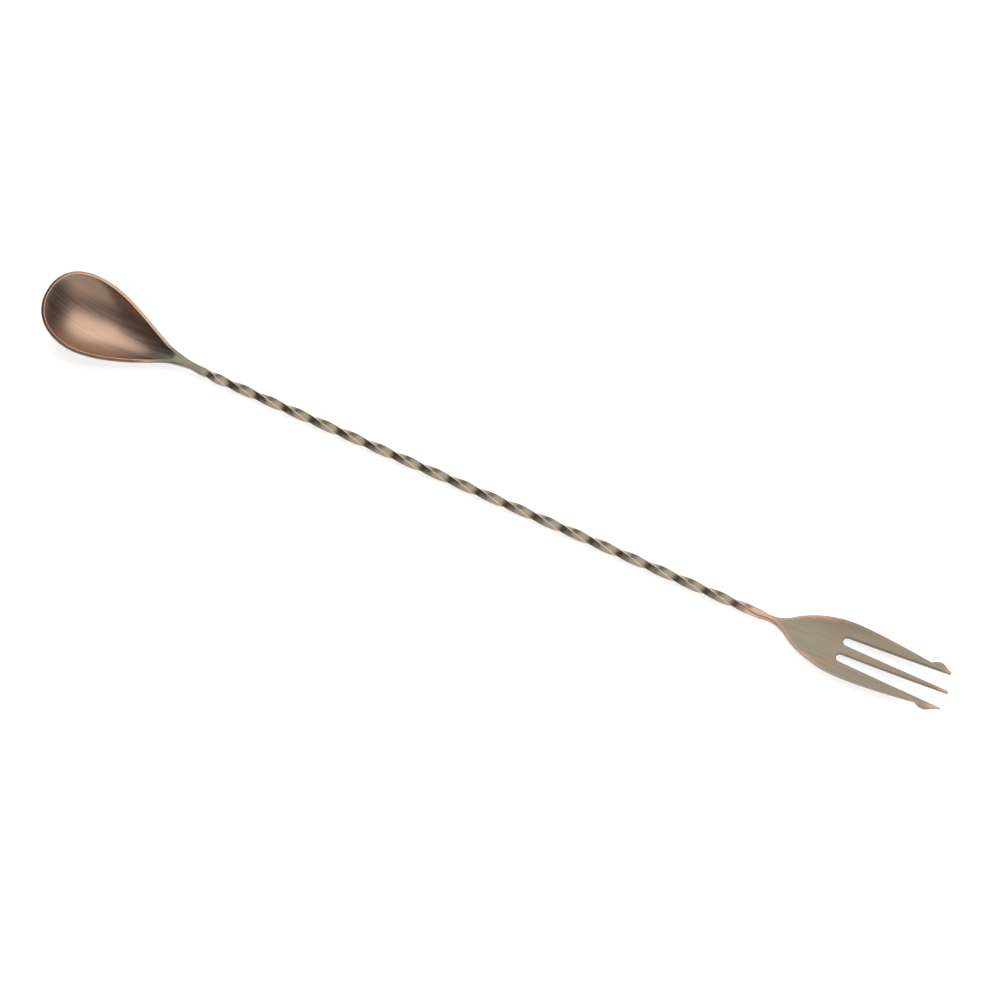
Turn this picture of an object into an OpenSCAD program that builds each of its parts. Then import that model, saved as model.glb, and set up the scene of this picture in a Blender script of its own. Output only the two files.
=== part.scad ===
// Fork-end bar spoon: a pressed bowl, a twisted square bar and a three-tine fork,
// butt-welded in line. +X runs along the stem from the bowl to the fork, +Z is up,
// and the origin is at the middle of the length, on the surface that the spoon lies on.

/* [Overall] */
// Length from the bowl's tip to the longest tine's tip
overall_len = 315; // [290:1:340]

/* [Stem] */
// Side of the square bar that is twisted
bar_side = 2.5; // [2.2:0.1:3.0]
// Radius on the bar's four long edges
bar_edge_r = 0.2; // [0.1:0.05:0.4]
// Full turns of twist, before the small roll at the bowl end
twist_turns = 5; // [3:1:7]
// Roll of the bar's flat at the bowl end, with its front edge down
start_roll = 10; // [0:0.5:30]
// Extra turn that the bar gains over its bend at the bowl end, where the twist starts softly
early_turn = 12.5; // [0:0.5:20]
// How far the bar's bowl end is bent up from its centre line
end_lift = 0.6; // [0:0.1:1]
// Length of the bar that is ground soft at the fork's weld
ground_len = 9; // [4:0.5:14]

/* [Welds] */
// Length of each ground-flush butt weld
weld_len = 1.2; // [0.8:0.1:2]

/* [Bowl] */
// Length of the bowl piece, from its tip to the weld
bowl_len = 55.3; // [53:0.1:58]
// Greatest width of the bowl
bowl_w = 26.8; // [24:0.1:30]
// Distance from the tip to the widest place
bowl_widest = 14.6; // [12:0.1:18]
// Depth of the hollow under the rim, at its lowest place
bowl_depth = 5.6; // [4.5:0.05:7]
// Thickness of the bowl's wall, and width of its flat lip
bowl_wall = 1.2; // [0.8:0.1:1.6]
// Height of the rim at the tip above the stem's centre line
tip_rise = 11.1; // [9:0.1:13]
// Roll of the bowl about its length, with its front edge down
bowl_roll = 6; // [0:0.5:12]

/* [Fork] */
// Length of the fork piece, from the weld to the longest tip
fork_len = 62.5; // [60:0.1:66]
// Greatest width across the palm
fork_w = 18.8; // [16:0.1:21]
// Thickness of the palm and the tines
fork_wall = 1.4; // [1.2:0.1:1.8]
// Thickness at the tines' ends
tip_wall = 1.1; // [0.8:0.1:1.4]
// Distance from the fork's tips to the closed ends of the slots
slot_len = 35.6; // [30:0.1:38]
// Width of a slot at its closed end
slot_w = 2.7; // [2:0.1:3]
// Upward curve of the tines at their tips
tine_rise = 2.1; // [0:0.1:4]
// How far the back tine's ground tip stops short of the front one
back_tine_short = 1.2; // [0:0.1:2]

/* [Hidden] */

tip_x = -overall_len / 2;
stem_x = tip_x + bowl_len + weld_len;
fork_x = overall_len / 2 - fork_len;
stem_len = fork_x - weld_len - stem_x;
stem_turn = 360 * twist_turns - start_roll - early_turn;
slices_per_turn = 36;
neck_half = bar_side / 2;
bar_reach = neck_half * sqrt(2) - bar_edge_r * (sqrt(2) - 1);

bright_copper = [0.78, 0.58, 0.47];
olive_copper = [0.61, 0.58, 0.51];
brown_copper = [0.62, 0.51, 0.43];

// ---- Smooth curves through hand-placed stations ---------------------------------------

function slope(p, i) =
    let (a = max(i - 1, 0), b = min(i + 1, len(p) - 1))
    (p[b][1] - p[a][1]) / (p[b][0] - p[a][0]);

function segment(p, x, i = 0) = i >= len(p) - 2 || x <= p[i + 1][0] ? i : segment(p, x, i + 1);

// Cubic curve through the points p = [[x, y], ...], read at x
function curve(p, x) =
    let (
        i = segment(p, x),
        h = p[i + 1][0] - p[i][0],
        t = min(1, max(0, (x - p[i][0]) / h)),
        t2 = t * t,
        t3 = t2 * t
    )
    (2 * t3 - 3 * t2 + 1) * p[i][1] + (t3 - 2 * t2 + t) * h * slope(p, i)
    + (3 * t2 - 2 * t3) * p[i + 1][1] + (t3 - t2) * h * slope(p, i + 1);

function blend(a, b, x) = let (t = min(1, max(0, (x - a) / (b - a)))) t * t * (3 - 2 * t);

// ---- Solid through a row of rings, each with the same number of points ----------------

module skin(rings) {
    n = len(rings[0]);
    last = (len(rings) - 1) * n;
    sides = [
        for (i = [0 : len(rings) - 2], j = [0 : n - 1])
            let (k = (j + 1) % n)
            each [
                [i * n + j, i * n + k, (i + 1) * n + k],
                [i * n + j, (i + 1) * n + k, (i + 1) * n + j]
            ]
    ];
    start_cap = [for (j = [n - 1 : -1 : 0]) j];
    end_cap = [for (j = [0 : n - 1]) last + j];
    polyhedron([for (r = rings) each r], concat(sides, [start_cap, end_cap]), convexity = 6);
}

// ---- Bowl --------------------------------------------------------------------------------

tip_flat = 1.2;
least_lip = 0.3;
least_hollow = 0.8;
rim_power = 2.15;
lowest = 24;
arc_end = 30;
hollow_end = 47;
lip_slope_end = [34, 44];
neck_blend = [38, 51];
roll_blend = [45, 52];
across = 10;

// Half the bowl's width at the distance u from its tip: a round front, then a long taper
taper_start = 22;
taper = [
    [2 * bowl_widest - taper_start, bowl_w * 0.457], [bowl_widest, bowl_w * 0.5],
    [taper_start, bowl_w * 0.457], [30, bowl_w * 0.348], [38, bowl_w * 0.213],
    [44, bowl_w * 0.111], [49, 1.65], [52, 1.2], [bowl_len, neck_half]
];
function round_front(u, a, b) = b * pow(1 - pow(1 - min(u, a) / a, rim_power), 1 / rim_power);
function bowl_half(u) =
    u < bowl_widest ? max(tip_flat, round_front(u, bowl_widest, bowl_w / 2)) : curve(taper, u);
function hollow_half(u) =
    let (
        w = bowl_half(u),
        front = round_front(max(0.1, u - bowl_wall), bowl_widest - bowl_wall, bowl_w / 2 - bowl_wall)
    )
    u < bowl_widest ? min(w - least_lip, front) : max(least_hollow, w - bowl_wall);

// Height of the rim above the stem's centre line
rim_line = [
    [0, tip_rise], [4, tip_rise * 0.95], [8, tip_rise * 0.845], [15, tip_rise * 0.65],
    [22, tip_rise * 0.505], [28, tip_rise * 0.37], [34, tip_rise * 0.27],
    [41, 2.45], [48, 2.8], [52, 2.5], [bowl_len, neck_half + end_lift]
];
function rim_z(u) = curve(rim_line, u);

// Middle line of the hollow and of the underside. From the tip to the lowest place both are arcs
// about one centre, and behind it they rise to the neck.
floor_low = rim_z(lowest) - bowl_depth;
tip_drop = rim_z(bowl_wall) - floor_low;
keel_r = (pow(lowest - bowl_wall, 2) + pow(tip_drop, 2)) / (2 * tip_drop);
keel_low = floor_low - bowl_wall;
floor_line = [
    [2 * lowest - arc_end, floor_low + 0.3], [lowest, floor_low], [arc_end, floor_low + 0.3],
    [36, floor_low + 1.05], [41, floor_low + 2.15], [45, floor_low + 3], [hollow_end, 2.8], [bowl_len, 2.8]
];
keel_line = [
    [2 * lowest - arc_end, keel_low + 0.22], [lowest, keel_low], [arc_end, keel_low + 0.22],
    [36, keel_low + 0.75], [42, -0.2], [47, 0.4], [52, 0.2], [bowl_len, end_lift - neck_half]
];
function arc_z(u, r) = floor_low + keel_r - sqrt(pow(r, 2) - pow(lowest - u, 2));
function outer_depth(u) = rim_z(u) - (u < lowest ? arc_z(u, keel_r + bowl_wall) : curve(keel_line, u));
function hollow_depth(u) =
    u >= hollow_end ? 0 : max(0, rim_z(u) - (u < lowest ? arc_z(u, keel_r) : curve(floor_line, u)));

// The flat lip slopes down to its outer edge, by less and less towards the neck
lip_slope = 0.35;
function lip_fall(u) = lip_slope * (1 - blend(lip_slope_end[0], lip_slope_end[1], u));

// Across the bowl the wall is steep at the rim; the neck squares up towards the bar
hollow_power = 0.8;
function outer_power(u) = 0.6 - 0.5 * blend(neck_blend[0], neck_blend[1], u);

// Points across a ring stand closer together near the rim, but never too close to tell apart
evenness = 0.15;
function share(j) = (1 - evenness) * sin(90 * j / across) + evenness * j / across;
function dip(j, power) = pow(1 - pow(share(j), 2), power);

function bowl_ring(u) =
    let (
        w = bowl_half(u),
        wi = hollow_half(u),
        z = rim_z(u),
        edge_z = z - lip_fall(u),
        turn = bowl_roll + (start_roll - bowl_roll) * blend(roll_blend[0], roll_blend[1], u),
        pivot = z - outer_depth(u) / 2,
        top = [
            [-w, edge_z],
            each [
                for (j = [-across : across]) [wi * share(j), z - hollow_depth(u) * dip(j, hollow_power)]
            ],
            [w, edge_z]
        ],
        under = [
            for (j = [across - 1 : -1 : 1 - across])
                [w * share(j), edge_z - (outer_depth(u) - lip_fall(u)) * dip(j, outer_power(u))]
        ]
    )
    [
        for (p = concat(top, under))
            let (y = p[0], h = p[1] - pivot)
            [tip_x + u, y * cos(turn) - h * sin(turn), pivot + y * sin(turn) + h * cos(turn)]
    ];

front_rings = 10;
back_rings = 30;
bowl_stations = [
    for (i = [0 : front_rings]) bowl_widest * (1 - cos(90 * i / front_rings)),
    for (i = [1 : back_rings]) bowl_widest + (bowl_len - bowl_widest) * i / back_rings
];
bowl_low = min([for (u = bowl_stations, p = bowl_ring(u)) p[2]]);

// Height of the stem's centre line: the spoon lies on its bowl and on the bar's edges
axis_z = max(bar_reach, -bowl_low);

module bowl() {
    color(bright_copper) translate([0, 0, axis_z]) skin([for (u = bowl_stations) bowl_ring(u)]);
}

// ---- Stem and welds ----------------------------------------------------------------------

corner_steps = 3;
bend_len = 6;
ground_r = 0.55;

// Outline of the square bar with rounded edges
function bar_outline(side, r) = [
    for (q = [0 : 3], i = [0 : corner_steps])
        let (a = 90 * (q + i / corner_steps), m = 90 * q + 45, c = (side / 2 - r) * sqrt(2))
        [c * cos(m) + r * cos(a), c * sin(m) + r * sin(a)]
];

// Section of the bar at x, rolled by roll about a centre that is lifted by lift
function bar_ring(x, roll, r, lift) = [
    for (p = bar_outline(bar_side, r))
        [x, p[0] * cos(roll) - p[1] * sin(roll), axis_z + lift + p[0] * sin(roll) + p[1] * cos(roll)]
];

stem_rings = round(slices_per_turn * stem_turn / 360);

module stem() {
    color(olive_copper)
        skin([
            for (i = [0 : stem_rings])
                let (
                    d = stem_len * i / stem_rings,
                    ground = blend(stem_len - ground_len, stem_len, d)
                )
                bar_ring(
                    stem_x + d,
                    start_roll + (early_turn + stem_turn * i / stem_rings) * blend(0, bend_len, d),
                    bar_edge_r + (ground_r - bar_edge_r) * ground,
                    end_lift * (1 - blend(0, bend_len, d))
                )
        ]);
}

// Filler metal of a butt weld, ground to the bar's own size with softer edges
module weld(x, roll, lift) {
    color(brown_copper) skin([for (end = [x, x + weld_len]) bar_ring(end, roll, ground_r, lift)]);
}

module bowl_weld() {
    weld(stem_x - weld_len, start_roll, end_lift);
}

module fork_weld() {
    weld(fork_x - weld_len, 0, 0);
}

// ---- Fork --------------------------------------------------------------------------------

slot_start = fork_len - slot_len;
notch = fork_len - 8.1;
point_w = 0.12;
tine_end = [fork_len - 0.2, fork_len, fork_len - 0.2 - back_tine_short];

// Half the fork's width at the distance v from the weld, up to the barbs' notch
palm = [
    [0, neck_half], [2.5, 0.94], [5.5, 1.2], [8.5, 2.4], [12, 4.75], [16, 6.75],
    [20, fork_w * 0.431], [25, fork_w * 0.487], [30, fork_w * 0.5], [38, fork_w * 0.476],
    [46, fork_w * 0.434], [notch, fork_w * 0.378]
];
// The barb beyond the notch: a rounded crest, then a slant to the point
slot_end_in = 0.45;
slot_end_out = 5.85;
barb = [
    [notch, fork_w * 0.378], [notch + 0.6, fork_w * 0.399], [notch + 1.6, fork_w * 0.427],
    [notch + 2.7, fork_w * 0.436], [notch + 3.8, fork_w * 0.427], [notch + 5.6, fork_w * 0.373],
    [fork_len, slot_end_out + point_w]
];
function fork_half(v) = v <= notch ? curve(palm, v) : curve(barb, v);

// The two slots: their middle line, and half their width with a round closed end
slot_mid = 2.92;
slot_edges = [[slot_mid - slot_w / 2, slot_end_in], [slot_mid + slot_w / 2, slot_end_out]];
function slot_edge(n, v) =
    slot_edges[n][0] + (slot_edges[n][1] - slot_edges[n][0]) * (v - slot_start) / slot_len;
function slot_middle(v) =
    v < slot_start
    ? slot_mid * fork_half(v) / fork_half(slot_start)
    : (slot_edge(0, v) + slot_edge(1, v)) / 2;
function slot_half(v) =
    let (to_full = max(0, 1 - (v - slot_start) / (slot_w / 2)))
    v <= slot_start ? 0 : (slot_edge(1, v) - slot_edge(0, v)) / 2 * sqrt(1 - pow(to_full, 2));

// Height of the middle of the metal: a dished palm, then tines that curve up
heel = 23;
dish = [[0, 0], [6, 0], [14, 1.15], [30, 1.05], [fork_len, 0.5]];
gauge = [
    [0, bar_side], [3, 2.2], [6, 1.9], [10, fork_wall + 0.1], [13, fork_wall], [50, fork_wall],
    [fork_len, tip_wall]
];
neck_ease = [[0, 0.6], [5, 0.75], [10, 0.9], [15, 1], [fork_len, 1]];
function fork_z(v, y) =
    tine_rise * pow(max(0, v - heel) / (fork_len - heel), 1.5)
    + curve(dish, v) * pow(y / (fork_w / 2), 2);

// Sideways limits of the front, middle and back lane, which part at the slots
function lane(k, v) =
    let (m = slot_middle(v), g = slot_half(v), w = fork_half(v))
    k == 0 ? [-w, -m - g] : k == 1 ? [g - m, m - g] : [m + g, w];
function lane_v(k, v) =
    v <= notch ? v : notch + (v - notch) * (tine_end[k] - notch) / (fork_len - notch);

lane_steps = 4;
fork_stations = [
    for (i = [0 : 26]) slot_start * i / 26,
    for (i = [1 : 5]) slot_start + slot_w / 2 * (1 - cos(18 * i)),
    for (i = [1 : 14]) slot_start + slot_w / 2 + (notch - slot_start - slot_w / 2) * i / 14,
    for (i = [1 : 14]) notch + (fork_len - notch) * i / 14
];
slot_row = 26;
last_row = len(fork_stations) - 1;

function fork_point(i, k, j, s) =
    let (
        v = lane_v(k, fork_stations[i]),
        y_range = lane(k, v),
        y = y_range[0] + (y_range[1] - y_range[0]) * j / lane_steps,
        outermost = (k == 0 && j == 0) || (k == 2 && j == lane_steps),
        half = curve(gauge, v) / 2 * (outermost ? curve(neck_ease, v) : 1)
    )
    [fork_x + v, y, axis_z + fork_z(v, y) + (s == 0 ? half : -half)];

// Number of a point; up to the slots, neighbouring lanes share their common edge
function fork_id(i, k, j, s) =
    j == 0 && k > 0 && i <= slot_row
    ? fork_id(i, k - 1, lane_steps, s)
    : ((i * 3 + k) * (lane_steps + 1) + j) * 2 + s;

function quad(a, b, c, d) = [[a, b, c], [a, c, d]];

module fork() {
    points = [
        for (i = [0 : last_row], k = [0 : 2], j = [0 : lane_steps], s = [0, 1]) fork_point(i, k, j, s)
    ];
    skins = [
        for (i = [0 : last_row - 1], k = [0 : 2], j = [0 : lane_steps - 1])
            each concat(
                quad(fork_id(i, k, j, 0), fork_id(i, k, j + 1, 0),
                    fork_id(i + 1, k, j + 1, 0), fork_id(i + 1, k, j, 0)),
                quad(fork_id(i, k, j, 1), fork_id(i + 1, k, j, 1),
                    fork_id(i + 1, k, j + 1, 1), fork_id(i, k, j + 1, 1))
            )
    ];
    front_walls = [
        for (i = [0 : last_row - 1], k = [0 : 2])
            if (k == 0 || i >= slot_row)
                each quad(fork_id(i, k, 0, 0), fork_id(i + 1, k, 0, 0),
                    fork_id(i + 1, k, 0, 1), fork_id(i, k, 0, 1))
    ];
    back_walls = [
        for (i = [0 : last_row - 1], k = [0 : 2])
            if (k == 2 || i >= slot_row)
                each quad(fork_id(i, k, lane_steps, 0), fork_id(i, k, lane_steps, 1),
                    fork_id(i + 1, k, lane_steps, 1), fork_id(i + 1, k, lane_steps, 0))
    ];
    weld_face = [
        for (k = [0 : 2], j = [0 : lane_steps - 1])
            each quad(fork_id(0, k, j, 0), fork_id(0, k, j, 1),
                fork_id(0, k, j + 1, 1), fork_id(0, k, j + 1, 0))
    ];
    tine_faces = [
        for (k = [0 : 2], j = [0 : lane_steps - 1])
            each quad(fork_id(last_row, k, j, 0), fork_id(last_row, k, j + 1, 0),
                fork_id(last_row, k, j + 1, 1), fork_id(last_row, k, j, 1))
    ];
    color(olive_copper)
        polyhedron(points, concat(skins, front_walls, back_walls, weld_face, tine_faces), convexity = 8);
}

bowl();
bowl_weld();
stem();
fork_weld();
fork();
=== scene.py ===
"""Looks of the fork-end bar spoon: finely meshed pieces and an antiqued copper finish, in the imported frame.

Lengths in the shape functions are millimetres, and a mesh is scaled to metres when it is made.
u is the distance from the bowl's tip, v the distance from the fork's weld, and both run along +X.
"""

import math

import bmesh
import bpy
import numpy as np
from mathutils import Matrix, Vector


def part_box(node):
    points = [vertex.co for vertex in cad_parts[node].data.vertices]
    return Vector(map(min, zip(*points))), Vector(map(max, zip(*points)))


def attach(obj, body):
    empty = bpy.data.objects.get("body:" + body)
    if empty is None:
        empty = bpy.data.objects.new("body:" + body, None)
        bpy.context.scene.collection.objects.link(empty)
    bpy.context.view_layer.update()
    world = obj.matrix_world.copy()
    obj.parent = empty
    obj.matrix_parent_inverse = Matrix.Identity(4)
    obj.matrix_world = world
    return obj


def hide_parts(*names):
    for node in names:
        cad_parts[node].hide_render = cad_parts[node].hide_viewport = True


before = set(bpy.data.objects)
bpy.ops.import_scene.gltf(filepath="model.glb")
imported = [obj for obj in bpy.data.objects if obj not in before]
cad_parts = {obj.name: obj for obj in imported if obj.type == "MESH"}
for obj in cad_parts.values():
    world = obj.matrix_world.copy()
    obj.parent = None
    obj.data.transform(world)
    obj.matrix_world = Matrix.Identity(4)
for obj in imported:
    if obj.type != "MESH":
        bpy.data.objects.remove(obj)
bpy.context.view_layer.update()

MM = 0.001

# ---- Driving dimensions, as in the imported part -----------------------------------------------

BAR_SIDE = 2.5
BAR_EDGE_R = 0.2
TWIST_TURNS = 5
START_ROLL = 10.0
EARLY_TURN = 12.5
END_LIFT = 0.6
BEND_LEN = 6.0
GROUND_LEN = 9.0
GROUND_R = 0.55
NECK_R = 0.35

BOWL_W = 26.8
BOWL_ROLL = 6.0
BOWL_WIDEST = 14.6
BOWL_DEPTH = 5.6
BOWL_WALL = 1.2
TIP_RISE = 11.1
RIM_POWER = 2.15
LOWEST = 24.0
LIP_FALL = 0.35
LIP_INNER_R = 0.16
LIP_OUTER_R = 0.3

FORK_W = 18.8
FORK_WALL = 1.4
TIP_WALL = 1.1
SLOT_LEN = 35.6
SLOT_W = 2.7
TINE_RISE = 2.1
BACK_TINE_SHORT = 1.2
TINE_EDGE_R = 0.22
BARB_LEN = 8.1


def span(node):
    """Lowest and highest corner of a CAD node, in millimetres."""
    low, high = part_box(node)
    return np.array(low) / MM, np.array(high) / MM


STEM_LOW, STEM_HIGH = span("stem")
FORK_LOW, FORK_HIGH = span("fork")
BOWL_LOW, BOWL_HIGH = span("bowl")
TIP_X = BOWL_LOW[0]
BOWL_LEN = BOWL_HIGH[0] - BOWL_LOW[0]
STEM_X = STEM_LOW[0]
STEM_LEN = STEM_HIGH[0] - STEM_LOW[0]
FORK_X = FORK_LOW[0]
FORK_LEN = FORK_HIGH[0] - FORK_LOW[0]
AXIS_Z = sum(corner[2] for corner in span("fork_weld")) / 2
STEM_TURN = 360 * TWIST_TURNS - START_ROLL - EARLY_TURN


# ---- Curves ------------------------------------------------------------------------------------


def curve(points, x):
    """Cubic curve through a few points [(x, y), ...], read at the array x."""
    xs = np.array([p[0] for p in points], float)
    ys = np.array([p[1] for p in points], float)
    last = len(xs) - 1
    low = np.maximum(np.arange(last + 1) - 1, 0)
    high = np.minimum(np.arange(last + 1) + 1, last)
    slopes = (ys[high] - ys[low]) / (xs[high] - xs[low])
    x = np.asarray(x, float)
    i = np.clip(np.searchsorted(xs, x, side="left") - 1, 0, last - 1)
    h = xs[i + 1] - xs[i]
    t = np.clip((x - xs[i]) / h, 0, 1)
    t2 = t * t
    t3 = t2 * t
    return (
        (2 * t3 - 3 * t2 + 1) * ys[i]
        + (t3 - 2 * t2 + t) * h * slopes[i]
        + (3 * t2 - 2 * t3) * ys[i + 1]
        + (t3 - t2) * h * slopes[i + 1]
    )


def blend(a, b, x):
    """0 before a, 1 after b, and a smooth step between them."""
    t = np.clip((np.asarray(x, float) - a) / (b - a), 0, 1)
    return t * t * (3 - 2 * t)


# ---- Mesh making -------------------------------------------------------------------------------

# In metres: points this close are made one, and an edge this short is dissolved.
SAME_PLACE = 1e-7
NO_LENGTH = 1e-8
SHARP_FROM = math.radians(60)


def make_piece(name, node, points, faces, masks):
    """A smooth mesh piece from points in millimetres, with its masks kept as vertex attributes."""
    mesh = bpy.data.meshes.new(name)
    mesh.from_pydata((np.asarray(points) * MM).tolist(), [], faces)
    for mask, values in masks.items():
        layer = mesh.attributes.new(mask, "FLOAT", "POINT")
        layer.data.foreach_set("value", np.asarray(values, np.float32))
    work = bmesh.new()
    work.from_mesh(mesh)
    bmesh.ops.remove_doubles(work, verts=work.verts, dist=SAME_PLACE)
    bmesh.ops.dissolve_degenerate(work, edges=work.edges, dist=NO_LENGTH)
    loose = [v for v in work.verts if not v.link_faces]
    bmesh.ops.delete(work, geom=loose, context="VERTS")
    bmesh.ops.recalc_face_normals(work, faces=work.faces)
    work.to_mesh(mesh)
    work.free()
    mesh.shade_smooth()
    mesh.set_sharp_from_angle(angle=SHARP_FROM)
    piece = bpy.data.objects.new(name, mesh)
    bpy.context.scene.collection.objects.link(piece)
    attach(piece, "root")
    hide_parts(node)
    return piece


def grid_faces(rows, columns, closed=False, start=0):
    """Quads of a grid of points that is stored row by row; closed joins the last column to the first."""
    faces = []
    for i in range(rows - 1):
        for j in range(columns if closed else columns - 1):
            k = (j + 1) % columns
            a = start + i * columns
            b = a + columns
            faces.append((a + j, a + k, b + k, b + j))
    return faces


# ---- Bar: stem and welds -----------------------------------------------------------------------

CORNER_STEPS = 6
FACE_STEPS = 12
EDGE_FADE = 0.1
STEM_RINGS = 720
WELD_RINGS = 8
GROUND_WEAR = 0.75


def bar_outline(side, radius):
    """Points round a square with rounded corners, and how near each is to a corner, from 0 to 1."""
    points = []
    edge = []
    flat = side / 2 - radius
    for q in range(4):
        c, s = math.cos(math.radians(90 * q + 45)), math.sin(math.radians(90 * q + 45))
        centre = np.array([c, s]) * flat * math.sqrt(2)
        for i in range(CORNER_STEPS + 1):
            a = math.radians(90 * q + 90 * i / CORNER_STEPS)
            points.append(centre + radius * np.array([math.cos(a), math.sin(a)]))
            edge.append(1.0)
        start = points[-1]
        turn = math.radians(90 * (q + 1))
        run = 2 * flat * np.array([-math.sin(turn), math.cos(turn)])
        for i in range(1, FACE_STEPS):
            share = (1 - math.cos(math.pi * i / FACE_STEPS)) / 2
            points.append(start + run * share)
            near = min(share, 1 - share) * 2 * flat
            edge.append(math.exp(-near / EDGE_FADE))
    return np.array(points), np.array(edge)


def bar_piece(name, node, xs, rolls, radii, lifts, wear, bare):
    """A bar swept along X, rolled, rounded and lifted as it goes.

    wear says how much of the patina is gone from its faces, and bare how much of it from its edges.
    """
    rows = []
    edges = []
    for x, roll, radius, lift in zip(xs, rolls, radii, lifts):
        outline, edge = bar_outline(BAR_SIDE, radius)
        c, s = math.cos(math.radians(roll)), math.sin(math.radians(roll))
        y = outline[:, 0] * c - outline[:, 1] * s
        z = outline[:, 0] * s + outline[:, 1] * c + AXIS_Z + lift
        rows.append(np.column_stack([np.full(len(y), x), y, z]))
        edges.append(edge)
    n = len(rows[0])
    faces = grid_faces(len(rows), n, closed=True)
    faces.append(tuple(range(n - 1, -1, -1)))
    faces.append(tuple(range((len(rows) - 1) * n, len(rows) * n)))
    wear = np.repeat(wear, n)
    edge = np.concatenate(edges) * np.repeat(bare, n)
    masks = {"edge": edge, "wear": wear, "dark": np.zeros(len(wear))}
    return make_piece(name, node, np.concatenate(rows), faces, masks)


def make_stem():
    """The bar, whose twist starts softly and whose edges are ground soft towards the fork's weld."""
    d = np.linspace(0, STEM_LEN, STEM_RINGS + 1)
    ground_start = STEM_LEN - GROUND_LEN
    ground = blend(ground_start, STEM_LEN, d)
    bend = blend(0, BEND_LEN, d)
    return bar_piece(
        "stem_twisted_bar",
        "stem",
        STEM_X + d,
        START_ROLL + (EARLY_TURN + STEM_TURN * d / STEM_LEN) * bend,
        BAR_EDGE_R + (GROUND_R - BAR_EDGE_R) * ground,
        END_LIFT * (1 - bend),
        GROUND_WEAR * blend(ground_start - 1, STEM_LEN - 4, d),
        blend(0, 2, d) * (1 - blend(ground_start, STEM_LEN - 3, d)),
    )


def weld_piece(name, node, roll, radii, lift, wear):
    """A weld's short prism, as long as its CAD box, with its first and last edge radius in radii."""
    low, high = span(node)
    share = np.linspace(0, 1, WELD_RINGS + 1)
    even = np.ones(len(share))
    return bar_piece(
        name,
        node,
        low[0] + (high[0] - low[0]) * share,
        roll * even,
        radii[0] + (radii[1] - radii[0]) * share,
        lift * even,
        wear * even,
        0 * even,
    )


def make_bowl_weld():
    """The filler metal between the bowl's neck and the bar, rolled and lifted as they are."""
    radii = (NECK_R, BAR_EDGE_R)
    return weld_piece("bowl_weld_seam", "bowl_weld", START_ROLL, radii, END_LIFT, 0)


def make_fork_weld():
    """The filler metal between the bar and the fork's neck, ground as they are."""
    radii = (GROUND_R, GROUND_R)
    return weld_piece("fork_weld_seam", "fork_weld", 0, radii, 0, GROUND_WEAR)


# ---- Bowl --------------------------------------------------------------------------------------

TAPER_START = 22
BOWL_TAPER = [
    (2 * BOWL_WIDEST - TAPER_START, BOWL_W * 0.457),
    (BOWL_WIDEST, BOWL_W * 0.5),
    (TAPER_START, BOWL_W * 0.457),
    (30, BOWL_W * 0.348),
    (38, BOWL_W * 0.213),
    (44, BOWL_W * 0.111),
    (49, 1.65),
    (52, 1.2),
    (BOWL_LEN, BAR_SIDE / 2),
]
RIM_LINE = [
    (0, TIP_RISE),
    (4, TIP_RISE * 0.95),
    (8, TIP_RISE * 0.845),
    (15, TIP_RISE * 0.65),
    (22, TIP_RISE * 0.505),
    (28, TIP_RISE * 0.37),
    (34, TIP_RISE * 0.27),
    (41, 2.45),
    (48, 2.8),
    (52, 2.5),
    (BOWL_LEN, BAR_SIDE / 2 + END_LIFT),
]
HOLLOW_POWER = 0.8
OUTER_POWER = 0.6
NECK_POWER = 0.1
HOLLOW_END = 47.0
LEAST_HOLLOW = 0.8

# Stretches of u over which the bowl's shape, wear and darkening change into the neck's.
LIP_LEVELS = (34, 44)
LIP_SOFTENS = (36, 44)
UNDERSIDE_FILLS = (38, 51)
NECK_SQUARES = (44, 51)
NECK_ROLLS = (45, 52)
EDGE_DULLS = (40, 48)
WEAR_ENDS = (36, 48)
DARK_ENDS = (40, 50)


def superellipse(u, reach, half):
    """Half width, at u from its front, of an oval whose half width has grown to half at reach."""
    q = np.clip(1 - u / reach, 0, 1)
    return half * (1 - q**RIM_POWER) ** (1 / RIM_POWER)


def bowl_half(u):
    """Half width of the bowl's rim."""
    front = superellipse(np.clip(u, 0, BOWL_WIDEST), BOWL_WIDEST, BOWL_W / 2)
    return np.where(u < BOWL_WIDEST, front, curve(BOWL_TAPER, u))


def hollow_half(u):
    """Half width of the hollow at its lip."""
    reach, half = BOWL_WIDEST - BOWL_WALL, BOWL_W / 2 - BOWL_WALL
    front = superellipse(np.clip(u - BOWL_WALL, 0, reach), reach, half)
    return np.where(u < BOWL_WIDEST, front, np.maximum(LEAST_HOLLOW, bowl_half(u) - BOWL_WALL))


def rim_z(u):
    """Height of the rim above the stem's centre line."""
    return curve(RIM_LINE, u)


FLOOR_LOW = float(rim_z(LOWEST)) - BOWL_DEPTH
TIP_DROP = float(rim_z(BOWL_WALL)) - FLOOR_LOW
KEEL_R = ((LOWEST - BOWL_WALL) ** 2 + TIP_DROP**2) / (2 * TIP_DROP)
ARC_END = 30
FLOOR_LINE = [
    (2 * LOWEST - ARC_END, FLOOR_LOW + 0.3),
    (LOWEST, FLOOR_LOW),
    (ARC_END, FLOOR_LOW + 0.3),
    (36, FLOOR_LOW + 1.05),
    (41, FLOOR_LOW + 2.15),
    (45, FLOOR_LOW + 3.0),
    (HOLLOW_END, 2.8),
    (BOWL_LEN, 2.8),
]
KEEL_LINE = [
    (2 * LOWEST - ARC_END, FLOOR_LOW - BOWL_WALL + 0.22),
    (LOWEST, FLOOR_LOW - BOWL_WALL),
    (ARC_END, FLOOR_LOW - BOWL_WALL + 0.22),
    (36, FLOOR_LOW - BOWL_WALL + 0.75),
    (42, -0.2),
    (47, 0.4),
    (52, 0.2),
    (BOWL_LEN, END_LIFT - BAR_SIDE / 2),
]


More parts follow.
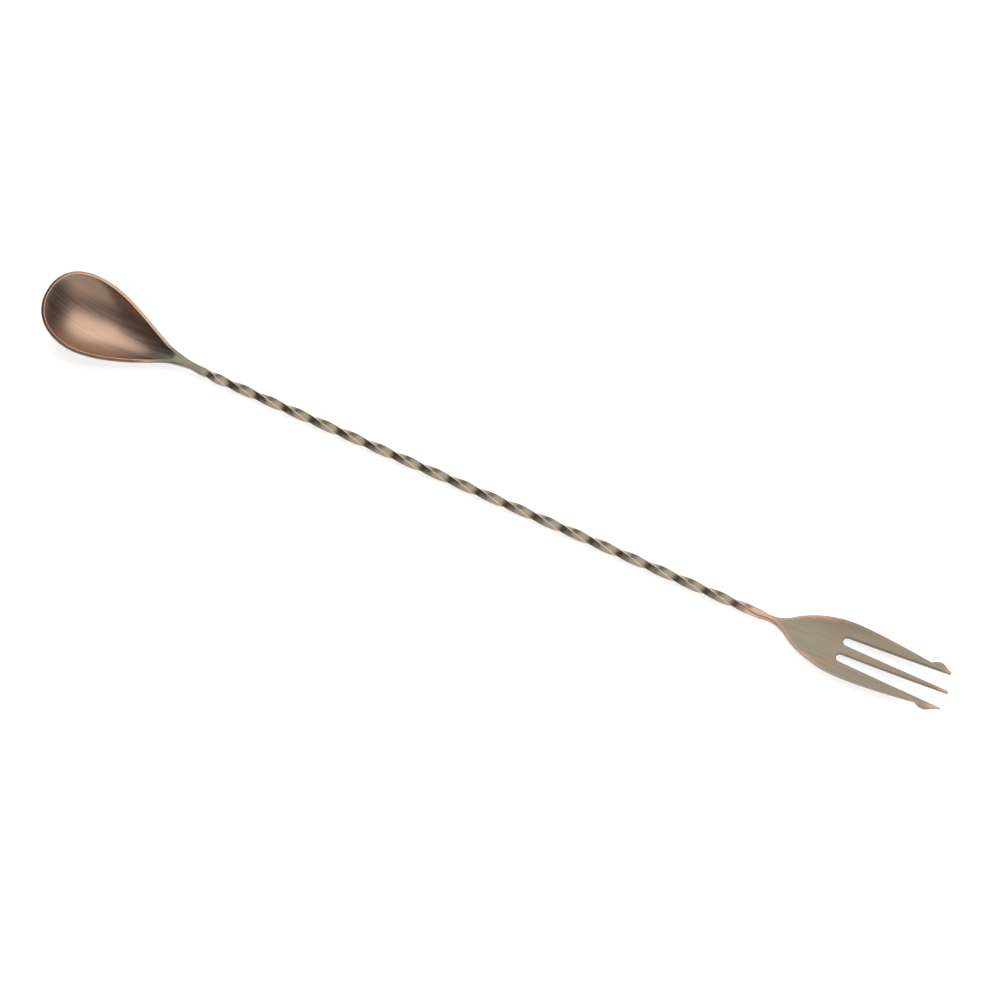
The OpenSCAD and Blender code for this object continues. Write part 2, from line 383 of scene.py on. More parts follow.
def arc_z(u, radius):
    """The bowl's middle line from its lowest place up to the tip, on a circle about one centre."""
    return FLOOR_LOW + KEEL_R - np.sqrt(radius**2 - (LOWEST - np.clip(u, 0, LOWEST)) ** 2)


def outer_depth(u):
    """Depth of the underside's middle line below the rim."""
    return rim_z(u) - np.where(u < LOWEST, arc_z(u, KEEL_R + BOWL_WALL), curve(KEEL_LINE, u))


def hollow_depth(u):
    """Depth of the hollow's middle line below the rim."""
    floor = np.where(u < LOWEST, arc_z(u, KEEL_R), curve(FLOOR_LINE, u))
    return np.where(u < HOLLOW_END, np.maximum(rim_z(u) - floor, 0), 0)


def across(y, half):
    """What share of the way from a wall to the middle line the place y is, with 1 at the middle line."""
    return np.clip(1 - (y / np.maximum(half, 1e-6)) ** 2, 0, 1)


def lip_fall(u):
    """How far the lip slopes down from its inner edge to its outer one."""
    return LIP_FALL * (1 - blend(*LIP_LEVELS, u))


def inside_z(u, y):
    """Height of the hollow's surface."""
    return rim_z(u) - hollow_depth(u) * across(y, hollow_half(u)) ** HOLLOW_POWER


def outside_z(u, y):
    """Height of the underside's surface."""
    power = OUTER_POWER - (OUTER_POWER - NECK_POWER) * blend(*UNDERSIDE_FILLS, u)
    fall = lip_fall(u)
    return rim_z(u) - fall - np.maximum(outer_depth(u) - fall, 0) * across(y, bowl_half(u)) ** power


SIDE_STEPS = 190
FRONT_STEPS = 150
INNER_STEPS = 30
ARC_STEPS = 5
LIP_STEPS = 6
OUTER_STEPS = 34
INNER_CROWD = 87.5
OUTER_CROWD = 87.7
INNER_STOP = 0.002
OUTER_STOP = 0.9995
LEAST_LIP = 0.25
LIP_BEND = 1.3
LIP_BRIGHT = 0.15
OUTER_BRIGHT = 0.4


def crowded(t, angle):
    """Moves t, which runs from 0 to 1, towards 1, and the more so the nearer angle is to 90 degrees."""
    return math.sin(math.radians(angle) * t) / math.sin(math.radians(angle))


def quarter_turn():
    """The angles of the points on a rounded edge, from 0 to a right angle."""
    return [math.radians(90) * i / (ARC_STEPS - 1) for i in range(ARC_STEPS)]


def lip_start(u_edge, y_edge):
    """Share of the way from the hub to the rim point at which the lip's inner edge lies."""
    if u_edge >= BOWL_WIDEST:
        return float(hollow_half(np.array(u_edge))) / abs(y_edge)
    a, b = BOWL_WIDEST - BOWL_WALL, BOWL_W / 2 - BOWL_WALL
    level = (abs(BOWL_WIDEST - u_edge) / a) ** RIM_POWER + (abs(y_edge) / b) ** RIM_POWER
    return level ** (-1 / RIM_POWER)


def bowl_profile(u_edge, y_edge, u_hub):
    """Points from the hollow's middle line, over the lip, to the underside's middle line.

    They lie on the straight line, seen from above, between the rim point and the hub, and are given as
    (u, y, z) with a mask of how bare the metal is: 1 on the lip's inner edge, less on the rest of it.
    """
    reach = math.hypot(u_edge - u_hub, y_edge)
    lip_in = min(lip_start(u_edge, y_edge), 1 - LEAST_LIP / reach)
    flat = 1 - float(blend(*LIP_SOFTENS, u_edge))
    inner_r = LIP_INNER_R * flat
    top = float(rim_z(np.array(u_edge)))
    fall = float(lip_fall(np.array(u_edge)))
    share = []
    drop = []
    edge = []
    for i in range(INNER_STEPS):
        stop = 1 - INNER_STOP * i / INNER_STEPS
        share.append(lip_in * crowded(i / (INNER_STEPS - 1), INNER_CROWD) * stop)
        drop.append(None)
        edge.append(0.0)
    for a in quarter_turn():
        share.append(lip_in + inner_r * (1 - math.cos(a)) / reach)
        drop.append(inner_r * (1 - math.sin(a)))
        edge.append(flat)
    lip_from = lip_in + inner_r / reach
    lip_to = 1 - LIP_OUTER_R / reach
    lip_drop = max(fall - LIP_OUTER_R / 2, 0)
    for i in range(1, LIP_STEPS):
        t = i / LIP_STEPS
        share.append(lip_from + (lip_to - lip_from) * t)
        drop.append(lip_drop * t**LIP_BEND)
        edge.append(LIP_BRIGHT * flat)
    for a in quarter_turn():
        share.append(1 - LIP_OUTER_R * (1 - math.sin(a)) / reach)
        drop.append(lip_drop + LIP_OUTER_R * (1 - math.cos(a)))
        edge.append(OUTER_BRIGHT)
    last_in = len(share)
    for i in range(OUTER_STEPS):
        share.append(crowded(1 - i / (OUTER_STEPS - 1), OUTER_CROWD) * OUTER_STOP)
        drop.append(None)
        edge.append(0.0)
    share = np.array(share)
    u = u_hub + (u_edge - u_hub) * share
    y = y_edge * share
    z = np.array([0.0 if d is None else top - d for d in drop])
    z[:INNER_STEPS] = inside_z(u[:INNER_STEPS], y[:INNER_STEPS])
    z[last_in:] = np.minimum(outside_z(u[last_in:], y[last_in:]), z[last_in - 1])
    return np.column_stack([u, y, z]), np.array(edge)


HALF_BAR_STEPS = 8


def half_bar(shares, side, radius):
    """Half of a rounded square, from the top's middle to the bottom's, read at shares of its length."""
    flat = side / 2 - radius
    points = [(0.0, side / 2)]
    for i in range(HALF_BAR_STEPS + 1):
        a = math.radians(90 - 90 * i / HALF_BAR_STEPS)
        points.append((flat + radius * math.cos(a), flat + radius * math.sin(a)))
    for i in range(HALF_BAR_STEPS + 1):
        a = math.radians(-90 * i / HALF_BAR_STEPS)
        points.append((flat + radius * math.cos(a), -flat + radius * math.sin(a)))
    points.append((0.0, -side / 2))
    points = np.array(points)
    steps = np.hypot(*np.diff(points, axis=0).T)
    along = np.concatenate([[0], np.cumsum(steps)])
    along /= along[-1]
    return np.interp(shares, along, points[:, 0]), np.interp(shares, along, points[:, 1])


def neck_section(points, u, side_sign):
    """Turns a section of the bowl into the bar's own section as u runs down the neck."""
    y, z = points[:, 1] * side_sign, points[:, 2]
    steps = np.hypot(np.diff(y), np.diff(z))
    shares = np.concatenate([[0], np.cumsum(steps)])
    shares /= shares[-1]
    bar_y, bar_z = half_bar(shares, BAR_SIDE, NECK_R)
    depth = float(outer_depth(np.array(u)))
    top = float(rim_z(np.array(u)))
    half = float(bowl_half(np.array(u)))
    bar_y = bar_y * half / (BAR_SIDE / 2)
    bar_z = top - depth / 2 + bar_z * depth / BAR_SIDE
    t = float(blend(*NECK_SQUARES, u))
    y = (y + (bar_y - y) * t) * side_sign
    return np.column_stack([points[:, 0], y, z + (bar_z - z) * t])


def rolled(points):
    """Rolls the bowl's sections about their middles, by the bowl's own roll and then by the bar's."""
    u, y, z = points.T
    turn = np.radians(BOWL_ROLL + (START_ROLL - BOWL_ROLL) * blend(*NECK_ROLLS, u))
    c, s = np.cos(turn), np.sin(turn)
    pivot = rim_z(u) - outer_depth(u) / 2
    h = z - pivot
    return np.column_stack([u, y * c - h * s, pivot + y * s + h * c])


NECK_EDGE_LOSS = 0.6
HOLLOW_WEAR = 0.7
WORN_DEPTHS = (0.3, 1)
UNDERSIDE_WEAR = 0.22
WEAR_SLANT = 0.4
# How far the bowl is darkened towards SHADOW: fully on the lip and underside, and less with depth in the
# hollow.
BOWL_DARKENING = 0.1


def bowl_masks(points, edge, hollow):
    """Masks of the bowl: its lip and its hollow are worn, and its neck and underside hardly are. Its lip and
    underside, and its hollow towards the lip, are a little darkened.
    """
    u, y, z = points.T
    deep = (rim_z(u) - z) / BOWL_DEPTH
    lip = (edge > 0) & ~hollow
    hollow_wear = HOLLOW_WEAR + (1 - HOLLOW_WEAR) * blend(*WORN_DEPTHS, deep)
    wear = np.where(hollow, hollow_wear, np.where(lip, 1.0, UNDERSIDE_WEAR))
    # a slight darkening, full on the lip and underside and fading out down the hollow
    dark = np.where(hollow, BOWL_DARKENING * np.clip(1 - deep, 0, 1), BOWL_DARKENING)
    return {
        "edge": edge * (1 - NECK_EDGE_LOSS * blend(*EDGE_DULLS, u)),
        "wear": wear * (1 - blend(*WEAR_ENDS, u - WEAR_SLANT * y)),
        "dark": dark * (1 - blend(*DARK_ENDS, u)),
    }


def make_bowl():
    """The bowl as one closed shell, from profiles that go round its rim from neck to neck."""
    backward = BOWL_WIDEST + (BOWL_LEN - BOWL_WIDEST) * np.linspace(1, 0, SIDE_STEPS)
    rows = []
    edges = []
    for u in backward:
        points, edge = bowl_profile(u, float(bowl_half(u)), u)
        rows.append(neck_section(points, u, 1))
        edges.append(edge)
    for i in range(1, FRONT_STEPS):
        t = math.pi / 2 - math.pi * i / FRONT_STEPS
        c, s = abs(math.cos(t)) ** (2 / RIM_POWER), abs(math.sin(t)) ** (2 / RIM_POWER)
        u = BOWL_WIDEST * (1 - c)
        y = BOWL_W / 2 * s * (1 if t >= 0 else -1)
        points, edge = bowl_profile(u, y, BOWL_WIDEST)
        rows.append(points)
        edges.append(edge)
    for u in backward[::-1]:
        points, edge = bowl_profile(u, -float(bowl_half(u)), u)
        rows.append(neck_section(points, u, -1))
        edges.append(edge)
    n = len(rows[0])
    faces = grid_faces(len(rows), n)
    last = (len(rows) - 1) * n
    faces.append(tuple(range(n)) + tuple(last + k for k in range(n - 2, 0, -1)))
    points = np.concatenate(rows)
    hollow = np.concatenate([np.arange(n) < INNER_STEPS for _ in rows])
    masks = bowl_masks(points, np.concatenate(edges), hollow)
    placed = rolled(points) + np.array([TIP_X, 0, AXIS_Z])
    return make_piece("bowl_shell", "bowl", placed, faces, masks)


# ---- Fork --------------------------------------------------------------------------------------

SLOT_START = FORK_LEN - SLOT_LEN
NOTCH = FORK_LEN - BARB_LEN
SLOT_END_OUT = 5.85
SLOT_MID = 2.92
SLOT_END_IN = 0.45
POINT_W = 0.12
TINE_END = [FORK_LEN - 0.2, FORK_LEN, FORK_LEN - 0.2 - BACK_TINE_SHORT]
PALM = [
    (0, BAR_SIDE / 2),
    (2.5, 0.94),
    (5.5, 1.2),
    (8.5, 2.4),
    (12, 4.75),
    (16, 6.75),
    (20, FORK_W * 0.431),
    (25, FORK_W * 0.487),
    (30, FORK_W * 0.5),
    (38, FORK_W * 0.476),
    (46, FORK_W * 0.434),
    (NOTCH, FORK_W * 0.378),
]
BARB = [
    (NOTCH, FORK_W * 0.378),
    (NOTCH + 0.6, FORK_W * 0.399),
    (NOTCH + 1.6, FORK_W * 0.427),
    (NOTCH + 2.7, FORK_W * 0.436),
    (NOTCH + 3.8, FORK_W * 0.427),
    (NOTCH + 5.6, FORK_W * 0.373),
    (FORK_LEN, SLOT_END_OUT + POINT_W),
]
DISH = [(0, 0), (6, 0), (14, 1.15), (30, 1.05), (FORK_LEN, 0.5)]
GAUGE = [
    (0, BAR_SIDE),
    (3, 2.2),
    (6, 1.9),
    (10, FORK_WALL + 0.1),
    (13, FORK_WALL),
    (50, FORK_WALL),
    (FORK_LEN, TIP_WALL),
]
HEEL = 23.0


def fork_half(v):
    """Half width of the fork's outline."""
    return np.where(v <= NOTCH, curve(PALM, v), curve(BARB, v))


def slot_edge(start, end, v):
    """A straight line from start, where the slots begin, to end at the tips."""
    return start + (end - start) * (v - SLOT_START) / SLOT_LEN


def slot_sides(v):
    """Distances of a slot's two sides from the fork's middle line."""
    inner = slot_edge(SLOT_MID - SLOT_W / 2, SLOT_END_IN, v)
    outer = slot_edge(SLOT_MID + SLOT_W / 2, SLOT_END_OUT, v)
    return inner, outer


def slot_middle(v):
    """Distance of a slot's middle from the fork's, carried on through the palm."""
    inner, outer = slot_sides(v)
    before = SLOT_MID * fork_half(v) / fork_half(np.array(SLOT_START))
    return np.where(v < SLOT_START, before, (inner + outer) / 2)


def slot_half(v):
    """Half width of a slot, which starts with a round end and is 0 in the palm."""
    inner, outer = slot_sides(v)
    to_full = np.clip(1 - (v - SLOT_START) / (SLOT_W / 2), 0, 1)
    return (outer - inner) / 2 * np.sqrt(1 - to_full**2)


def fork_z(v, y):
    """Height of the plate's middle above the stem's centre line: the tines' rise and the palm's dish."""
    rise = TINE_RISE * (np.maximum(0, v - HEEL) / (FORK_LEN - HEEL)) ** 1.5
    return rise + curve(DISH, v) * (y / (FORK_W / 2)) ** 2


def lane(k, v):
    """Sideways limits of the front, middle or back lane."""
    m, g, w = slot_middle(v), slot_half(v), fork_half(v)
    if k == 0:
        return -w, -m - g
    if k == 1:
        return g - m, m - g
    return m + g, w


def lane_v(k, v):
    """Places along a lane, whose last stretch is scaled so that it ends at its own tine's end."""
    return np.where(v <= NOTCH, v, NOTCH + (v - NOTCH) * (TINE_END[k] - NOTCH) / (FORK_LEN - NOTCH))


LEAST_RUN = 1e-12


def distance_to(points, line):
    """Least distance, in the plane, from each point to a chain of points."""
    best = np.full(len(points), np.inf)
    for a, b in zip(line[:-1], line[1:]):
        run = b - a
        run_squared = float(run @ run)
        if run_squared < LEAST_RUN:
            continue
        t = np.clip((points - a) @ run / run_squared, 0, 1)
        best = np.minimum(best, np.hypot(*(points - a - t[:, None] * run).T))
    return best


EDGE_OFFSETS = [0, 0.03, 0.09, 0.17, 0.27, 0.4, 0.6]
EDGE_SHARES = [0, 0.03, 0.08, 0.15, 0.23, 0.32, 0.42]
MIDDLE_LINES = 5
LINES = 2 * len(EDGE_OFFSETS) + MIDDLE_LINES


def lane_lines(low, high):
    """Places across a lane from low to high, close together near both sides."""
    width = high - low
    near = [min(o, s * width) for o, s in zip(EDGE_OFFSETS, EDGE_SHARES)]
    inner = np.linspace(low + near[-1], high - near[-1], MIDDLE_LINES + 2)[1:-1]
    return np.concatenate([[low + n for n in near], inner, [high - n for n in near[::-1]]])


NEAR_SLOT = 0.7
NEAR_NOTCH = 0.6
PALM_STEPS = 110
NEAR_SLOT_STEPS = 14
ROUND_END_STEPS = 22
TINE_STEPS = 90
NEAR_NOTCH_STEPS = 8
BARB_STEPS = 80


def fork_stations():
    """Places along the fork, closer together at the slots' round ends and at the notch."""
    r = SLOT_W / 2
    round_end = 1 - np.cos(np.linspace(0, math.pi / 2, ROUND_END_STEPS, endpoint=False))
    return np.concatenate(
        [
            np.linspace(0, SLOT_START - NEAR_SLOT, PALM_STEPS, endpoint=False),
            np.linspace(SLOT_START - NEAR_SLOT, SLOT_START, NEAR_SLOT_STEPS, endpoint=False),
            SLOT_START + r * round_end,
            np.linspace(SLOT_START + r, NOTCH - NEAR_NOTCH, TINE_STEPS, endpoint=False),
            np.linspace(NOTCH - NEAR_NOTCH, NOTCH, NEAR_NOTCH_STEPS, endpoint=False),
            np.linspace(NOTCH, FORK_LEN, BARB_STEPS),
        ]
    )


def fork_plan(stations):
    """The fork seen from above: each lane's lines at each station, as (v, y)."""
    plan = np.zeros((3, len(stations), LINES, 2))
    for k in range(3):
        v = lane_v(k, stations)
        low, high = lane(k, v)
        for i in range(len(stations)):
            plan[k, i, :, 0] = v[i]
            plan[k, i, :, 1] = lane_lines(low[i], high[i])
    return plan


def edge_gaps(plan, slot_row):
    """Distance from each place to the fork's outer sides, and to the nearest edge of any kind."""
    flat = plan.reshape(-1, 2)
    outer_gap = np.minimum(distance_to(flat, plan[0, :, 0]), distance_to(flat, plan[2, :, -1]))
    edges = [plan[k, -1, [0, -1]] for k in range(3)]
    edges += [plan[k, slot_row:, 0] for k in (1, 2)]
    edges += [plan[k, slot_row:, -1] for k in (0, 1)]
    gap = outer_gap
    for line in edges:
        gap = np.minimum(gap, distance_to(flat, line))
    return outer_gap, gap


SIDE_BRIGHT = 0.75
SIDE_FADE = 0.2
SLOT_BRIGHT = 0.4
SLOT_FADE = 0.12
WORN_BAND = 0.9
TINE_WEAR_LOSS = 0.6
NECK_WEAR = 0.8

# Stretches of v over which the neck's edges and wear change into the palm's and the tines'.
EDGES_SHARPEN = (3, 14)
EDGES_BRIGHTEN = (3, 9)
NECK_WEAR_ENDS = (1.5, 7)
TINE_WEAR_FADES = (20, 40)


def fork_masks(v, outer_gap, gap):
    """How bare the fork's edges are, and how worn its faces: most along its sides, tips and neck."""
    sides = SIDE_BRIGHT * np.exp(-outer_gap / SIDE_FADE)
    slots = SLOT_BRIGHT * np.exp(-gap / SLOT_FADE)
    edge = np.maximum(sides, slots) * blend(*EDGES_BRIGHTEN, v)
    wear = np.exp(-outer_gap / WORN_BAND) * (1 - TINE_WEAR_LOSS * blend(*TINE_WEAR_FADES, v))
    wear = np.maximum(wear, blend(NOTCH + 1, FORK_LEN, v))
    return edge, np.maximum(wear, NECK_WEAR * (1 - blend(*NECK_WEAR_ENDS, v)))


WALL_SHARES = np.array([0, 0.12, 0.35, 0.65, 0.88, 1])
WALL_INSIDE = np.array([0, 1, 1, 1, 1, 0])
WALL_EDGE_LOSS = 0.8
WALL_WEAR_LOSS = 0.5
# Painted shade on the fork's walls: some on its outer side walls, and more on the walls of its slots between
# the tines.
OUTER_WALL_SHADE = 0.2
SLOT_WALL_SHADE = 0.35


def make_fork():
    """The fork as one closed plate: top, underside and the walls round its outline and its slots."""
    stations = fork_stations()
    slot_row = int(np.argmin(np.abs(stations - SLOT_START)))
    rows = len(stations)
    plan = fork_plan(stations)
    outer_gap, gap = edge_gaps(plan, slot_row)
    v, y = plan.reshape(-1, 2).T
    ease = TINE_EDGE_R + (GROUND_R - TINE_EDGE_R) * (1 - blend(*EDGES_SHARPEN, v))
    within = np.minimum(gap, ease)
    fall = ease - np.sqrt(np.clip(ease**2 - (ease - within) ** 2, 0, None))
    half = curve(GAUGE, v) / 2
    middle = AXIS_Z + fork_z(v, y)
    top = np.column_stack([FORK_X + v, y, middle + half - fall])
    bottom = np.column_stack([FORK_X + v, y, middle - half + fall])
    edge, wear = fork_masks(v, outer_gap, gap)
    points = [top, bottom]
    masks = {"edge": [edge] * 2, "wear": [wear] * 2, "dark": [np.zeros(len(v))] * 2}
    count = len(v)
    faces = []
    for k in range(3):
        for a, b, c, d in grid_faces(rows, LINES, start=k * rows * LINES):
            faces.append((a, b, c, d))
            faces.append((count + a, count + d, count + c, count + b))

    def add_wall(chain, wall_shade):
        """The side wall under a chain of points of the top, with its own rows between top and bottom, whose
        inner rows are given painted shade.
        """
        chain = np.asarray(chain)
        start = sum(len(part) for part in points)
        wall = [top[chain] + (bottom[chain] - top[chain]) * share for share in WALL_SHARES]
        points.append(np.concatenate(wall))
        masks["edge"].append(np.concatenate([edge[chain] * (1 - WALL_EDGE_LOSS * i) for i in WALL_INSIDE]))
        masks["wear"].append(np.concatenate([wear[chain] * (1 - WALL_WEAR_LOSS * i) for i in WALL_INSIDE]))
        # painted shade on the wall's inner rows
        masks["dark"].append(np.concatenate([np.full(len(chain), wall_shade * i) for i in WALL_INSIDE]))
        faces.extend(grid_faces(len(WALL_SHARES), len(chain), start=start))

    for k in range(3):
        first = k * rows * LINES
        for side, outer in ((0, k == 0), (LINES - 1, k == 2)):
            chain = first + np.arange(0 if outer else slot_row, rows) * LINES + side
            add_wall(chain, OUTER_WALL_SHADE if outer else SLOT_WALL_SHADE)
        add_wall(first + np.arange(LINES), 0)
        add_wall(first + (rows - 1) * LINES + np.arange(LINES), 0)
    masks = {key: np.concatenate(parts) for key, parts in masks.items()}
    return make_piece("fork_plate", "fork", np.concatenate(points), faces, masks)


# ---- Finish ------------------------------------------------------------------------------------

BARE = (0.95, 0.59, 0.43, 1)
COPPER = (0.60, 0.385, 0.28, 1)
OLIVE = (0.275, 0.251, 0.192, 1)
BROWN = (0.29, 0.216, 0.154, 1)
# The darkest colour, mixed in by the mask dark: painted shade on the fork's walls, and a slight darkening of
# the bowl.
SHADOW = (0.10, 0.08, 0.06, 1)


# How fine the patina's clouds and the brush lines are, the lines along X and across it, per metre.
CLOUDS = 60.0
FINE_LINES = (60, 2600)
WIDE_LINES = (35, 1100)

# The stretch of a noise or of a mask over which it takes effect, and what it changes.
WORN_FROM = (0.15, 0.95)
BARE_FROM = (0.35, 0.95)
STREAKS = (0.3, 0.75)
LINE_RANGE = (0.2, 0.8)
TONE = (0.8, 1.13)
ROUGHER = (-0.05, 0.08)

# A Mix node's colour sockets, which share their names with its other sockets.
COLOUR_A = 6
COLOUR_B = 7
COLOUR_OUT = 2


class Nodes:
    """A short way to add and link shader nodes."""

    def __init__(self, material):
        self.tree = material.node_tree

    def add(self, kind, **settings):
        node = self.tree.nodes.new(kind)
        for key, value in settings.items():
            setattr(node, key, value)
        return node

    def link(self, a, b):
        self.tree.links.new(a, b)

    def mask(self, name):
        """A mask of the mesh."""
        return self.add("ShaderNodeAttribute", attribute_name=name).outputs["Fac"]

    def noise(self, scale, detail, stretch, seed):
        """Soft noise from 0 to 1, with stretch telling how fine it is along each axis."""
        place = self.add("ShaderNodeTexCoord").outputs["Object"]
        mapping = self.add("ShaderNodeMapping")
        mapping.inputs["Scale"].default_value = stretch
        mapping.inputs["Location"].default_value = (seed, seed * 0.7, seed * 0.3)
        self.link(place, mapping.inputs["Vector"])
        noise = self.add("ShaderNodeTexNoise")
        noise.inputs["Scale"].default_value = scale
        noise.inputs["Detail"].default_value = detail
        noise.inputs["Roughness"].default_value = 0.6
        self.link(mapping.outputs["Vector"], noise.inputs["Vector"])
        return noise.outputs["Fac"]

    def brush_lines(self, fineness, across, seed):
        """Noise drawn out along X, with fineness along the lines and across them."""
        along_x, over = fineness
        return self.noise(1.0, 3.0, (along_x, over * across[0], over * across[1]), seed)

    def ramp(self, value, low, high, out_low=0.0, out_high=1.0):
        """A smooth step that rises from out_low to out_high while value goes from low to high."""
        node = self.add("ShaderNodeMapRange", interpolation_type="SMOOTHSTEP")
        node.inputs["From Min"].default_value = low
        node.inputs["From Max"].default_value = high
        node.inputs["To Min"].default_value = out_low
        node.inputs["To Max"].default_value = out_high
        self.link(value, node.inputs["Value"])
        return node.outputs["Result"]

    def math(self, operation, a, b):
        """One operation of arithmetic on two numbers or sockets."""
        node = self.add("ShaderNodeMath", operation=operation)
        for socket, value in zip(node.inputs, (a, b)):
            if isinstance(value, (int, float)):
                socket.default_value = value
            else:
                self.link(value, socket)
        return node.outputs[0]

    def mix(self, share, a, b):
        """Colour a where share is 0 and b where it is 1."""
        node = self.add("ShaderNodeMix", data_type="RGBA")
        self.link(share, node.inputs["Factor"])
        for socket, value in ((node.inputs[COLOUR_A], a), (node.inputs[COLOUR_B], b)):
            if isinstance(value, tuple):
                socket.default_value = value
            else:
                self.link(value, socket)
        return node.outputs[COLOUR_OUT]


def patina_colour(n, clouds, wide_lines, brown):
    """Olive or brown patina, worn to copper by the mask wear and to bright metal by the mask edge, then
    darkened towards SHADOW by the mask dark, which paints shade on the fork's walls.
    """
    browning = n.math("ADD", n.math("MULTIPLY", clouds, 0.5), wide_lines)
    body = n.mix(n.ramp(browning, 1.0 - 0.5 * brown, 1.3 - 0.5 * brown), OLIVE, BROWN)
    uneven = n.math("ADD", n.math("MULTIPLY", wide_lines, 1.1), n.math("MULTIPLY", clouds, 0.6))
    worn = n.math("ADD", n.mask("wear"), n.math("SUBTRACT", uneven, 0.85))
    body = n.mix(n.ramp(worn, *WORN_FROM), body, COPPER)
    edge = n.math("ADD", n.mask("edge"), n.math("MULTIPLY", n.math("SUBTRACT", clouds, 0.5), 0.5))
    body = n.mix(n.ramp(edge, *BARE_FROM), body, BARE)
    # Painted shade on the fork's walls, and a slight darkening of the bowl, from the mask dark.
    return n.mix(n.mask("dark"), body, SHADOW)


def toned(n, body, lines):
    """The colour body, lighter and darker along the fine brush lines."""
    tone = n.ramp(lines, *LINE_RANGE, *TONE)
    grey = n.add("ShaderNodeCombineColor")
    for channel in grey.inputs:
        n.link(tone, channel)
    product = n.add("ShaderNodeMix", data_type="RGBA", blend_type="MULTIPLY")
    product.inputs["Factor"].default_value = 1.0
    n.link(body, product.inputs[COLOUR_A])
    n.link(grey.outputs[0], product.inputs[COLOUR_B])
    return product.outputs[COLOUR_OUT]


def antiqued_copper(name, across, brown, rough):
    """Brushed copper plate with an olive-brown patina that is worn off where the metal is handled.

    across holds how fine the brush lines are sideways and upwards, brown how much brown is in the patina,
    and rough about how rough the metal is.
    """
    material = bpy.data.materials.new(name)
    material.use_nodes = True
    n = Nodes(material)
    shader = n.tree.nodes["Principled BSDF"]
    shader.inputs["Metallic"].default_value = 1.0
    shader.inputs["Anisotropic"].default_value = 0.4
    shader.inputs["Anisotropic Rotation"].default_value = 0.25
    shader.inputs["Coat Weight"].default_value = 0.5
    shader.inputs["Coat Roughness"].default_value = 0.5
    along = n.add("ShaderNodeCombineXYZ")
    along.inputs["X"].default_value = 1
    n.link(along.outputs["Vector"], shader.inputs["Tangent"])
    clouds = n.noise(CLOUDS, 4.0, (1, 1, 1), 3.1)
    lines = n.brush_lines(FINE_LINES, across, 1.7)
    wide_lines = n.brush_lines(WIDE_LINES, across, 5.3)
    n.link(toned(n, patina_colour(n, clouds, wide_lines, brown), lines), shader.inputs["Base Color"])
    smoothest, roughest = (rough + change for change in ROUGHER)
    n.link(n.ramp(lines, *LINE_RANGE, smoothest, roughest), shader.inputs["Roughness"])
    bump = n.add("ShaderNodeBump")
    bump.inputs["Strength"].default_value = 0.25
    bump.inputs["Distance"].default_value = 0.00002
    n.link(n.ramp(lines, *STREAKS), bump.inputs["Height"])
    n.link(bump.outputs["Normal"], shader.inputs["Normal"])
    return material


# ---- Stage -------------------------------------------------------------------------------------

CAMERA_ELEVATION = 65.0
CAMERA_AZIMUTH = 25.58
CAMERA_DISTANCE = 0.88
CAMERA_LENS = 99.94
CAMERA_AIM = Vector((0.00526, 0.00044, AXIS_Z * MM))
KEY = 1.35
TABLE_GLOW = 0.7
WORLD_GLOW = 0.05 * KEY
FLOOR_HALF = 2.5

# Name, angle behind overhead, angle beside it, half angles spanned, distance in metres, radiance.
SOFTBOXES = [
    ("overhead_softbox", 22, 11, (36, 29), 1.6, KEY),
    ("back_softbox", 64, 11, (26, 14), 1.7, 0.35 * KEY),
    ("front_softbox", -64, 0, (40, 22), 1.8, 0.42 * KEY),
]


def add_camera():
    """A camera that looks at the spoon from its front right and from well above."""
    e, a = math.radians(CAMERA_ELEVATION), math.radians(CAMERA_AZIMUTH)
    back = Vector((math.sin(a) * math.cos(e), -math.cos(a) * math.cos(e), math.sin(e)))
    right = Vector((math.cos(a), math.sin(a), 0))
    up = back.cross(right)
    data = bpy.data.cameras.new("camera")
    data.lens = CAMERA_LENS
    data.sensor_width = 36
    camera = bpy.data.objects.new("camera", data)
    turn = Matrix((right, up, back)).transposed().to_4x4()
    camera.matrix_world = Matrix.Translation(CAMERA_AIM + back * CAMERA_DISTANCE) @ turn
    bpy.context.scene.collection.objects.link(camera)
    bpy.context.scene.camera = camera


def add_softbox(name, back_tilt, side_tilt, half_angles, distance, radiance):
    """A rectangular soft light, given by the angles from overhead that it spans behind and beside the spoon.

    Behind and beside are seen from the camera, whose azimuth the light shares.
    """
    across, along = (2 * distance * math.tan(math.radians(h)) for h in half_angles)
    data = bpy.data.lights.new(name, "AREA")
    data.shape = "RECTANGLE"
    data.size, data.size_y = across, along
    data.energy = math.pi * across * along * radiance
    lamp = bpy.data.objects.new(name, data)
    toward = Vector((math.tan(math.radians(side_tilt)), math.tan(math.radians(back_tilt)), 1)).normalized()
    toward.rotate(Matrix.Rotation(math.radians(CAMERA_AZIMUTH), 3, "Z"))
    side = Vector((math.cos(math.radians(CAMERA_AZIMUTH)), math.sin(math.radians(CAMERA_AZIMUTH)), 0))
    up = toward.cross(side).normalized()
    side = up.cross(toward)
    turn = Matrix((side, up, toward)).transposed().to_4x4()
    lamp.matrix_world = Matrix.Translation(toward * distance) @ turn
    bpy.context.scene.collection.objects.link(lamp)


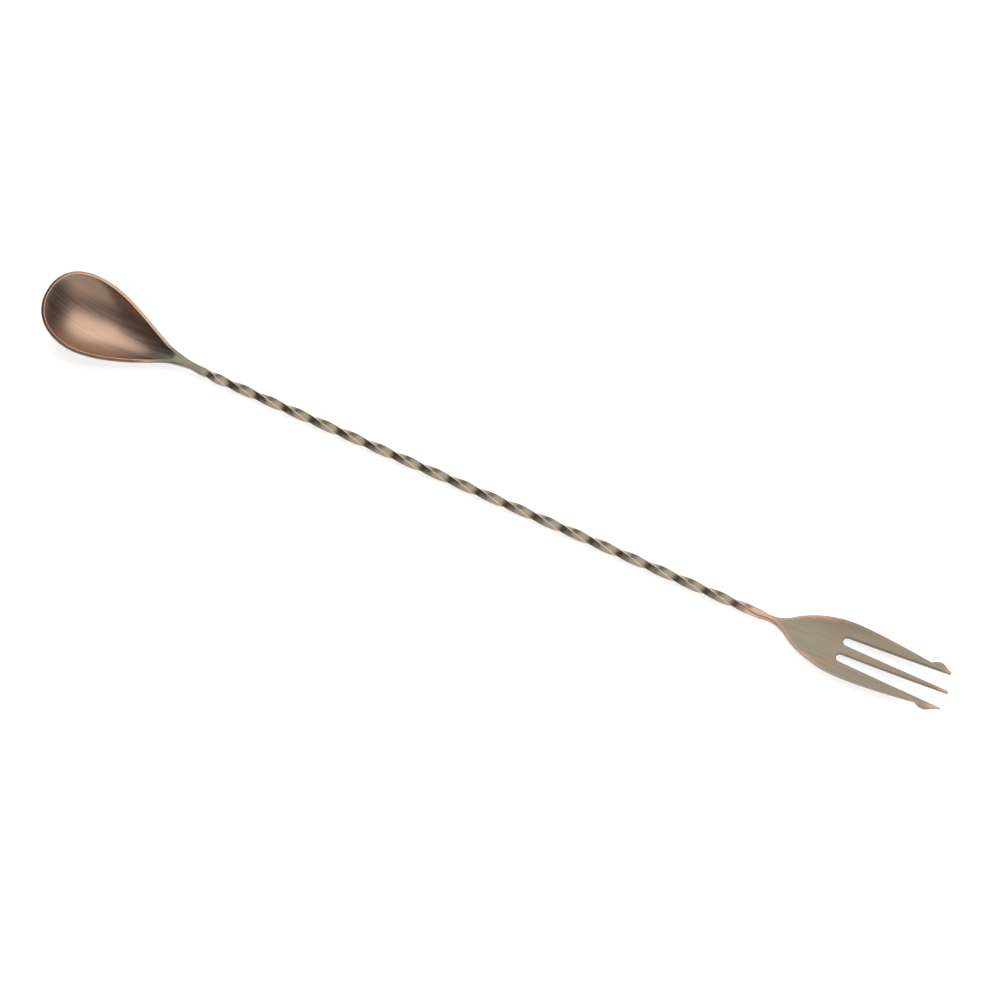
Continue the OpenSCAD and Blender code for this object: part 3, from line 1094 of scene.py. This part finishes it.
def add_stage():
    """A white table that glows, a faint white world and the softboxes."""
    mesh = bpy.data.meshes.new("floor")
    corners = [(-FLOOR_HALF, -FLOOR_HALF, 0), (FLOOR_HALF, -FLOOR_HALF, 0)]
    corners += [(FLOOR_HALF, FLOOR_HALF, 0), (-FLOOR_HALF, FLOOR_HALF, 0)]
    mesh.from_pydata(corners, [], [(0, 1, 2, 3)])
    floor = bpy.data.objects.new("floor", mesh)
    bpy.context.scene.collection.objects.link(floor)
    pale = bpy.data.materials.new("lit_white_table")
    pale.use_nodes = True
    shader = pale.node_tree.nodes["Principled BSDF"]
    shader.inputs["Base Color"].default_value = (0.88, 0.88, 0.88, 1)
    shader.inputs["Roughness"].default_value = 0.9
    shader.inputs["Specular IOR Level"].default_value = 0.1
    shader.inputs["Emission Color"].default_value = (1, 1, 1, 1)
    shader.inputs["Emission Strength"].default_value = TABLE_GLOW
    mesh.materials.append(pale)
    world = bpy.data.worlds.new("studio")
    bpy.context.scene.world = world
    world.use_nodes = True
    background = world.node_tree.nodes["Background"]
    background.inputs["Color"].default_value = (1, 1, 1, 1)
    background.inputs["Strength"].default_value = WORLD_GLOW
    for softbox in SOFTBOXES:
        add_softbox(*softbox)
    bpy.context.scene.view_settings.view_transform = "Standard"


pieces = {
    "bowl": make_bowl(),
    "bowl_weld": make_bowl_weld(),
    "stem": make_stem(),
    "fork_weld": make_fork_weld(),
    "fork": make_fork(),
}
finishes = {
    "bowl": antiqued_copper("bowl_antiqued_copper", (1, 0.03), 0.6, 0.33),
    "bowl_weld": antiqued_copper("bowl_weld_antiqued_copper", (1, 1), 0.3, 0.3),
    "stem": antiqued_copper("stem_antiqued_copper", (1, 1), 0.2, 0.27),
    "fork_weld": antiqued_copper("fork_weld_antiqued_copper", (1, 1), 0.6, 0.3),
    "fork": antiqued_copper("fork_antiqued_copper", (1, 0.03), 0.85, 0.33),
}
for key, piece in pieces.items():
    piece.data.materials.clear()
    piece.data.materials.append(finishes[key])

add_camera()
add_stage()
